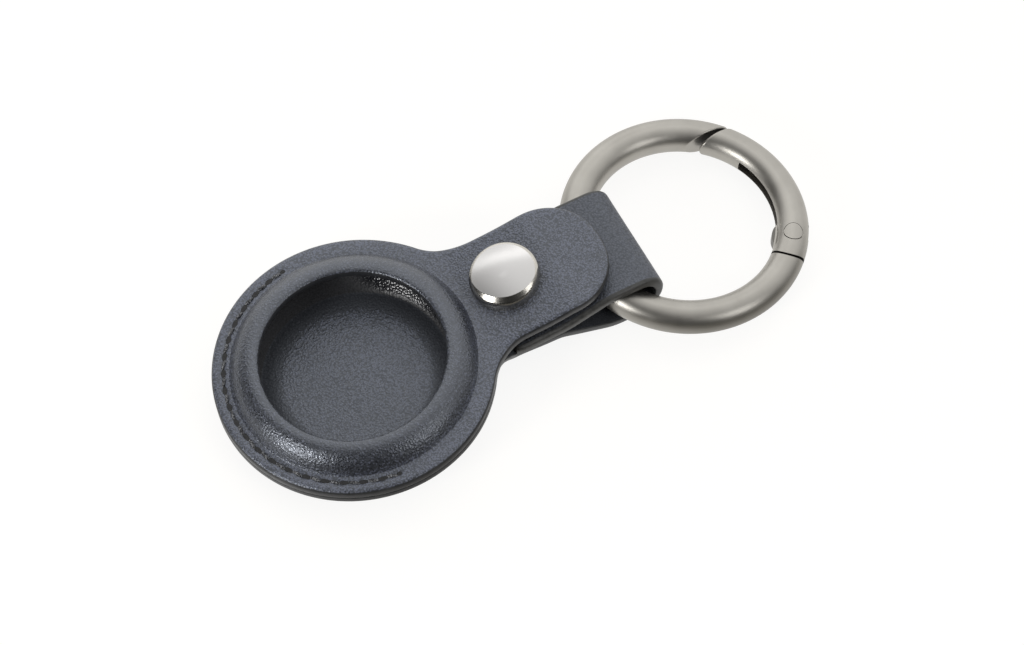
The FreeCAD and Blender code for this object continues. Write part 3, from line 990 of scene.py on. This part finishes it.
def leather_material(name, dark, light, rough, wall_shade_and_dull=0.0):
    """Fine printed grain, smooth on the moulded rim and darker there with painted shade; painted shade and
    duller towards the pocket's wall.
    """
    shader = Shader(name)
    pebble, crease, height = grain(shader)
    patch = shader.noise(patch_scale, detail=2)
    from_axis = shader.distance(pouch_middle, pouch_up)
    from_rim = shader.math("ABSOLUTE", shader.math("SUBTRACT", from_axis, rim_middle * mm))
    on_rim = shader.range(from_rim, rim_smooth_start * mm, rim_smooth_end * mm, 1.0, 0.0)
    on_wall = shader.range(from_axis, wall_start * mm, wall_end * mm)
    tone = shader.add(shader.add(crease, pebble, pebble_tone_share), patch, patch_tone_share)
    # Painted shade: the rim's tone is pulled to a darker, flatter tone, which also smooths its grain
    flat = shader.math("SUBTRACT", rim_shade_tone, tone)
    tone = shader.add(tone, shader.math("MULTIPLY", flat, on_rim), rim_smooth_and_shade_share)
    # Painted shade towards the pocket's wall
    tone = shader.add(tone, on_wall, -wall_shade_and_dull)
    dull = shader.add(crease, pebble, pebble_rough_share)
    dull = shader.range(dull, *grain_rough_span, *rough)
    dull = shader.add(shader.add(dull, on_rim, -rim_rough_drop), on_wall, wall_shade_and_dull)
    shader.paint(Base_Color=shader.ramp(tone, grain_tones, dark, light), Roughness=dull)
    height = shader.math("MULTIPLY", height, shader.range(on_rim, 0.0, 1.0, 1.0, rim_grain_share))
    height = shader.add(height, edge_press(shader, from_axis), -flange_press / grain_depth)
    shader.bump(height, 1.0, grain_depth * mm)
    shader.paint(Specular_IOR_Level=1.0, IOR=1.65, Specular_Tint=(0.86, 0.91, 1.0, 1.0))
    shader.paint(Sheen_Weight=0.25, Sheen_Roughness=0.25)
    return shader.material


def wall_material(dark, light):
    """Pocket wall: nearly black with painted shade, dull, and polished by thumbs beside the neck."""
    shader = Shader("pocket_wall_shade")
    crease, height = grain(shader)[1:]
    bow = math.radians(polish_angle)
    along = shader.along(pouch_middle, laid_direction((math.cos(bow), math.sin(bow), 0)))
    up = shader.along(pouch_middle, pouch_up)
    beside_neck = shader.range(along, polish_start * mm, polish_end * mm)
    off_floor = shader.range(up, polish_low * mm, polish_high * mm)
    polish = shader.math("MULTIPLY", beside_neck, off_floor)
    shader.paint(Base_Color=shader.ramp(crease, wall_tones, dark, light), Specular_IOR_Level=0.8)
    shader.paint(Roughness=shader.range(polish, 0.0, 1.0, wall_rough, polished_rough))
    shader.bump(height, wall_grain_strength, grain_depth * mm)
    return shader.material


def edge_material(name, dark, light):
    """Painted cut edge: smooth paint with slight ripples."""
    shader = Shader(name)
    ripple = shader.noise(paint_scale, detail=3)
    shader.paint(Base_Color=shader.ramp(ripple, noise_span, dark, light))
    shader.paint(Roughness=shader.range(ripple, *noise_span, *paint_rough))
    shader.bump(ripple, paint_strength, paint_depth * mm)
    return shader.material


def thread_material(name, dark, light):
    """Waxed thread with fibres; its light specks are partly painted glints."""
    shader = Shader(name)
    fibre_and_glint = shader.noise(fibre_scale, detail=3, rough=fibre_rough_share)
    shader.paint(Base_Color=shader.ramp(fibre_and_glint, fibre_and_glint_tones, dark, light))
    shader.paint(Roughness=shader.range(fibre_and_glint, *noise_span, *thread_rough))
    shader.bump(fibre_and_glint, fibre_strength, fibre_depth * mm)
    return shader.material


def plating(shader, dark, light, rough):
    """Colour and roughness of satin plating, and its faint brushing."""
    brush = shader.noise(brush_scale, detail=2)
    patch = shader.noise(plating_scale, detail=3)
    colour = shader.ramp(patch, noise_span, dark, light)
    satin = shader.range(shader.add(patch, brush, brush_share), *plating_span, *rough)
    return colour, satin, brush


def metal_material(name, dark, light, rough):
    """Satin plated metal with faint brushing."""
    shader = Shader(name)
    colour, satin, brush = plating(shader, dark, light, rough)
    shader.paint(Base_Color=colour, Roughness=satin, Metallic=1.0)
    shader.bump(brush, brush_strength, brush_depth * mm)
    return shader.material


def ring_direction(angle):
    """A direction in the ring's own plane, from the way that leads away from the strap."""
    bow = math.radians(angle)
    return Vector((gate_axis.z, 0, -gate_axis.x)) * math.cos(bow) + Vector((0, math.sin(bow), 0))


def ring_spot(x, y):
    """A point of the ring's plane, measured from its centre, in the frame of the solids."""
    along = ring_direction(0) * ((ring_radius + x) * mm)
    return joint_places["ring_swing"] + along + Vector((0, y * mm, 0))


def nose_seam_mask(shader):
    """1 on the gate's slanted face in the seam at its nose."""
    y = ring_radius * math.sin(math.radians(nose_angle))
    x = math.sqrt((ring_radius + wire_radius) ** 2 - y ** 2)
    to_body = shader.along(ring_spot(x, y + nose_seam), ring_direction(90 - body_slant_angle))
    to_gate = shader.along(ring_spot(x, y), ring_direction(90 - nose_slant_angle))
    fade = (-seam_margin * 2 * mm, -seam_margin * mm)
    below_body = shader.range(to_body, *fade, 1.0, 0.0)
    above_gate = shader.range(to_gate, *fade)
    far_side = shader.range(shader.along(ring_spot(0, 0), ring_direction(0)), 0.0, mm)
    return shader.math("MULTIPLY", shader.math("MULTIPLY", below_body, above_gate), far_side)


def tail_seam_mask(shader):
    """1 in the round seam between the gate's tail and the ring's body."""
    pivot = joint_places["gate_open"]
    middle = (tail_radius + tail_seam / 2) * mm
    off = shader.math("ABSOLUTE", shader.math("SUBTRACT", shader.distance(pivot, gate_axis), middle))
    reach = (tail_seam / 2 + seam_margin) * mm
    near_seam = shader.range(off, reach, reach + seam_margin * mm, 1.0, 0.0)
    body_side = shader.range(shader.along(pivot, ring_direction(pivot_angle + 90)), -mm, 0.0, 1.0, 0.0)
    return shader.math("MULTIPLY", near_seam, body_side)


def knuckle_mask(shader):
    """1 on what stands out of the wire towards the ring's centre."""
    inside = (ring_radius - wire_radius) * mm
    from_centre = shader.distance(ring_spot(0, 0), gate_axis)
    return shader.range(from_centre, inside - seam_margin * 2 * mm, inside - seam_margin * mm, 1.0, 0.0)


def ring_material(dark, light, rough):
    """Satin gunmetal plating, with painted shade in the gate's seams, which are dark and dull, and on the
    knuckle, which is darker.
    """
    shader = Shader("ring_metal")
    colour, satin = plating(shader, dark, light, rough)[:2]
    seam = shader.math("MAXIMUM", nose_seam_mask(shader), tail_seam_mask(shader))
    knuckle = shader.math("MULTIPLY", knuckle_mask(shader), knuckle_shade_share)
    shaded = shader.mix(shader.math("MAXIMUM", seam, knuckle), colour, seam_shade_colour)
    shader.paint(Base_Color=shaded, Roughness=shader.add(satin, seam, seam_rough), Metallic=1.0)
    return shader.material


def cap_material(top_colour, edge_colour):
    """Nickel cap with a satin top and a polished edge, whose bevel is wider on the near side."""
    shader = Shader("snap_cap_metal")
    pitch = math.radians(flap_pitch_angle)
    axis = laid_direction((-math.sin(pitch), 0, math.cos(pitch)))
    bow = math.radians(cap_bevel_angle)
    middle = laid((snap_x, snap_y, flap_height(snap_x)[0]))
    away = laid_direction((math.cos(bow), math.sin(bow), 0)) * (cap_bevel_shift * mm)
    past_bevel = shader.math("SUBTRACT", shader.distance(middle + away, axis), cap_bevel_radius * mm)
    past_circle = shader.math("SUBTRACT", shader.distance(middle, axis), cap_top_radius * mm)
    past_top = shader.math("MAXIMUM", past_bevel, past_circle)
    edge = shader.range(past_top, -cap_top_blend * mm, cap_top_blend * mm)
    satin = shader.range(shader.noise(satin_scale, detail=2), *noise_span, *cap_top_rough)
    shader.paint(Base_Color=shader.ramp(edge, cap_tones, top_colour, edge_colour), Metallic=1.0)
    shader.paint(Roughness=shader.add(satin, edge, cap_edge_rough))
    shader.bump(shader.math("MAXIMUM", past_bevel, 0.0), 1.0, -cap_bevel_slope)
    return shader.material


# Materials
skin = leather_material("leather_skin", dark=(0.01, 0.011, 0.015), light=(0.075, 0.082, 0.114),
                        rough=(0.3, 0.55))
# Darker copy of the skin for the rear panel and strap: painted shade
shaded_strap_skin = leather_material("shaded_strap_skin", dark=(0.007, 0.008, 0.011), light=(0.045, 0.05, 0.068),
                              rough=(0.4, 0.65))
# Painted shadow on the strap's upper run under the flap
flap_shadow_skin = leather_material("flap_shadow_skin", dark=(0.004, 0.005, 0.007), light=(0.026, 0.029, 0.04),
                                rough=(0.4, 0.65))
# The lining takes painted shade towards the pocket's wall
lining = leather_material("leather_lining", dark=(0.006, 0.007, 0.01), light=(0.072, 0.08, 0.108),
                          rough=(0.3, 0.55), wall_shade_and_dull=0.5)
# Painted shade on the pocket's wall
pocket_wall_shade = wall_material(dark=(0.006, 0.006, 0.008), light=(0.022, 0.023, 0.027))
edge_paint = edge_material("edge_paint", dark=(0.02, 0.021, 0.023), light=(0.036, 0.037, 0.04))
# Painted highlight: a light line along the bottom corner of the front panel's edge
highlight_edge = edge_material("highlight_edge", dark=(0.07, 0.07, 0.067), light=(0.15, 0.15, 0.143))
# Painted highlight: the edges of the strap's upper run are lighter
strap_highlight_edge = edge_material("strap_highlight_edge", dark=(0.034, 0.034, 0.033), light=(0.062, 0.062, 0.06))
# The thread's light specks are partly painted glints
thread = thread_material("waxed_thread", dark=(0.008, 0.008, 0.01), light=(0.3, 0.305, 0.32))
# Painted shade in the needle holes
hole_shade = thread_material("needle_hole_shade", dark=(0.001, 0.001, 0.001), light=(0.003, 0.003, 0.004))
ring_metal = ring_material(dark=(0.38, 0.364, 0.332), light=(0.44, 0.423, 0.387), rough=(0.36, 0.42))
snap_metal = metal_material("snap_metal", dark=(0.42, 0.41, 0.4), light=(0.5, 0.49, 0.47),
                            rough=(0.22, 0.3))
cap_metal = cap_material(top_colour=(0.56, 0.55, 0.54), edge_colour=(0.5, 0.48, 0.44))
spring_steel = metal_material("spring_steel", dark=(0.3, 0.3, 0.31), light=(0.4, 0.4, 0.41),
                              rough=(0.25, 0.35))

# Leather and stitches, in place of the plain solids
front_leather([skin, lining, edge_paint, pocket_wall_shade, highlight_edge])
rear_leather([shaded_strap_skin, lining, edge_paint, pocket_wall_shade, strap_highlight_edge, flap_shadow_skin])
stitch_row("front_stitches", "needle_thread", front_top, 1, [thread, hole_shade])
stitch_row("back_stitches", "bobbin_thread", dish_depth, -1, [thread, hole_shade])

# Metal, on the solids themselves
metal_nodes = (
    (ring_metal, ("ring_body", "ring_gate", "gate_pin")),
    (spring_steel, ("gate_spring", "socket_spring")),
    (cap_metal, ("snap_cap",)),
    (snap_metal, ("snap_socket", "snap_stud", "snap_post")),
)
for material, nodes in metal_nodes:
    for node in nodes:
        frame["nodes"][node].data.materials.clear()
        frame["nodes"][node].data.materials.append(material)


def floor():
    """White table with a faint shadow; what the metal mirrors of it is darker towards the viewer."""
    bpy.ops.mesh.primitive_plane_add(size=table_size, location=(0, 0, 0))
    table = bpy.context.object
    table.name = "table"
    shader = Shader("white_table")
    shader.tree.nodes.remove(shader.surface)
    ray = shader.node("ShaderNodeLightPath").outputs
    spot = shader.node("ShaderNodeSeparateXYZ", shader.place).outputs
    mirrored = shader.range(spot["Y"], mirrored_dark_y, mirrored_light_y, mirrored_glow, table_glow)
    straight = shader.math("MULTIPLY", ray["Is Camera Ray"], table_glow)
    diffuse = shader.node("ShaderNodeBsdfDiffuse", table_colour)
    glow = shader.node("ShaderNodeEmission", white, shader.math("MAXIMUM", mirrored, straight))
    seen = shader.math("MAXIMUM", ray["Is Camera Ray"], ray["Is Glossy Ray"])
    share = shader.math("MULTIPLY", seen, table_glow_share)
    mix = shader.node("ShaderNodeMixShader", share, diffuse.outputs["BSDF"], glow.outputs["Emission"])
    shader.feed(shader.tree.nodes["Material Output"], Surface=mix.outputs["Shader"])
    table.data.materials.append(shader.material)


def softbox(name, place, aim, size, power):
    """A rectangular soft lamp aimed at a point."""
    lamp = bpy.data.lights.new(name, "AREA")
    lamp.shape = "RECTANGLE"
    lamp.size = size[0]
    lamp.size_y = size[1]
    lamp.energy = power
    holder = bpy.data.objects.new(name, lamp)
    holder.location = place
    holder.rotation_euler = (Vector(aim) - Vector(place)).to_track_quat("-Z", "Y").to_euler()
    bpy.context.scene.collection.objects.link(holder)


def studio():
    """Room that is bright behind the holder and dark on its left and near sides, with softboxes."""
    world = bpy.data.worlds.new("studio")
    world.use_nodes = True
    room = Nodes(world.node_tree)
    way = room.node("ShaderNodeTexCoord").outputs["Generated"]
    towards = room.vector("DOT_PRODUCT", way, room_bright_way)["Value"]
    level = room.range(towards, room_dark_place, room_bright_place, room_dark, room_bright, "SMOOTHSTEP")
    sides = room.node("ShaderNodeSeparateXYZ", way).outputs
    left = room.range(sides["X"], left_dark_place, left_bright_place, left_dark, 1.0, "SMOOTHSTEP")
    room.feed(world.node_tree.nodes["Background"], Color=white, Strength=room.math("MULTIPLY", level, left))
    bpy.context.scene.world = world
    for values in softboxes:
        softbox(*values)


def camera():
    """Camera at the photograph's angle."""
    azimuth = math.radians(camera_azimuth)
    elevation = math.radians(camera_elevation)
    way = Vector((math.sin(azimuth) * math.cos(elevation), -math.cos(azimuth) * math.cos(elevation),
                  math.sin(elevation)))
    lens = bpy.data.cameras.new("camera")
    lens.sensor_fit = "HORIZONTAL"
    lens.sensor_width = sensor_width
    lens.lens = sensor_width * focal_pixels / photo_width
    lens.clip_start = camera_clip_start
    holder = bpy.data.objects.new("camera", lens)
    holder.location = Vector(camera_target) + way * camera_distance
    holder.rotation_euler = (-way).to_track_quat("-Z", "Y").to_euler()
    bpy.context.scene.collection.objects.link(holder)
    bpy.context.scene.camera = holder


floor()
studio()
camera()
bpy.context.scene.view_settings.view_transform = "Standard"
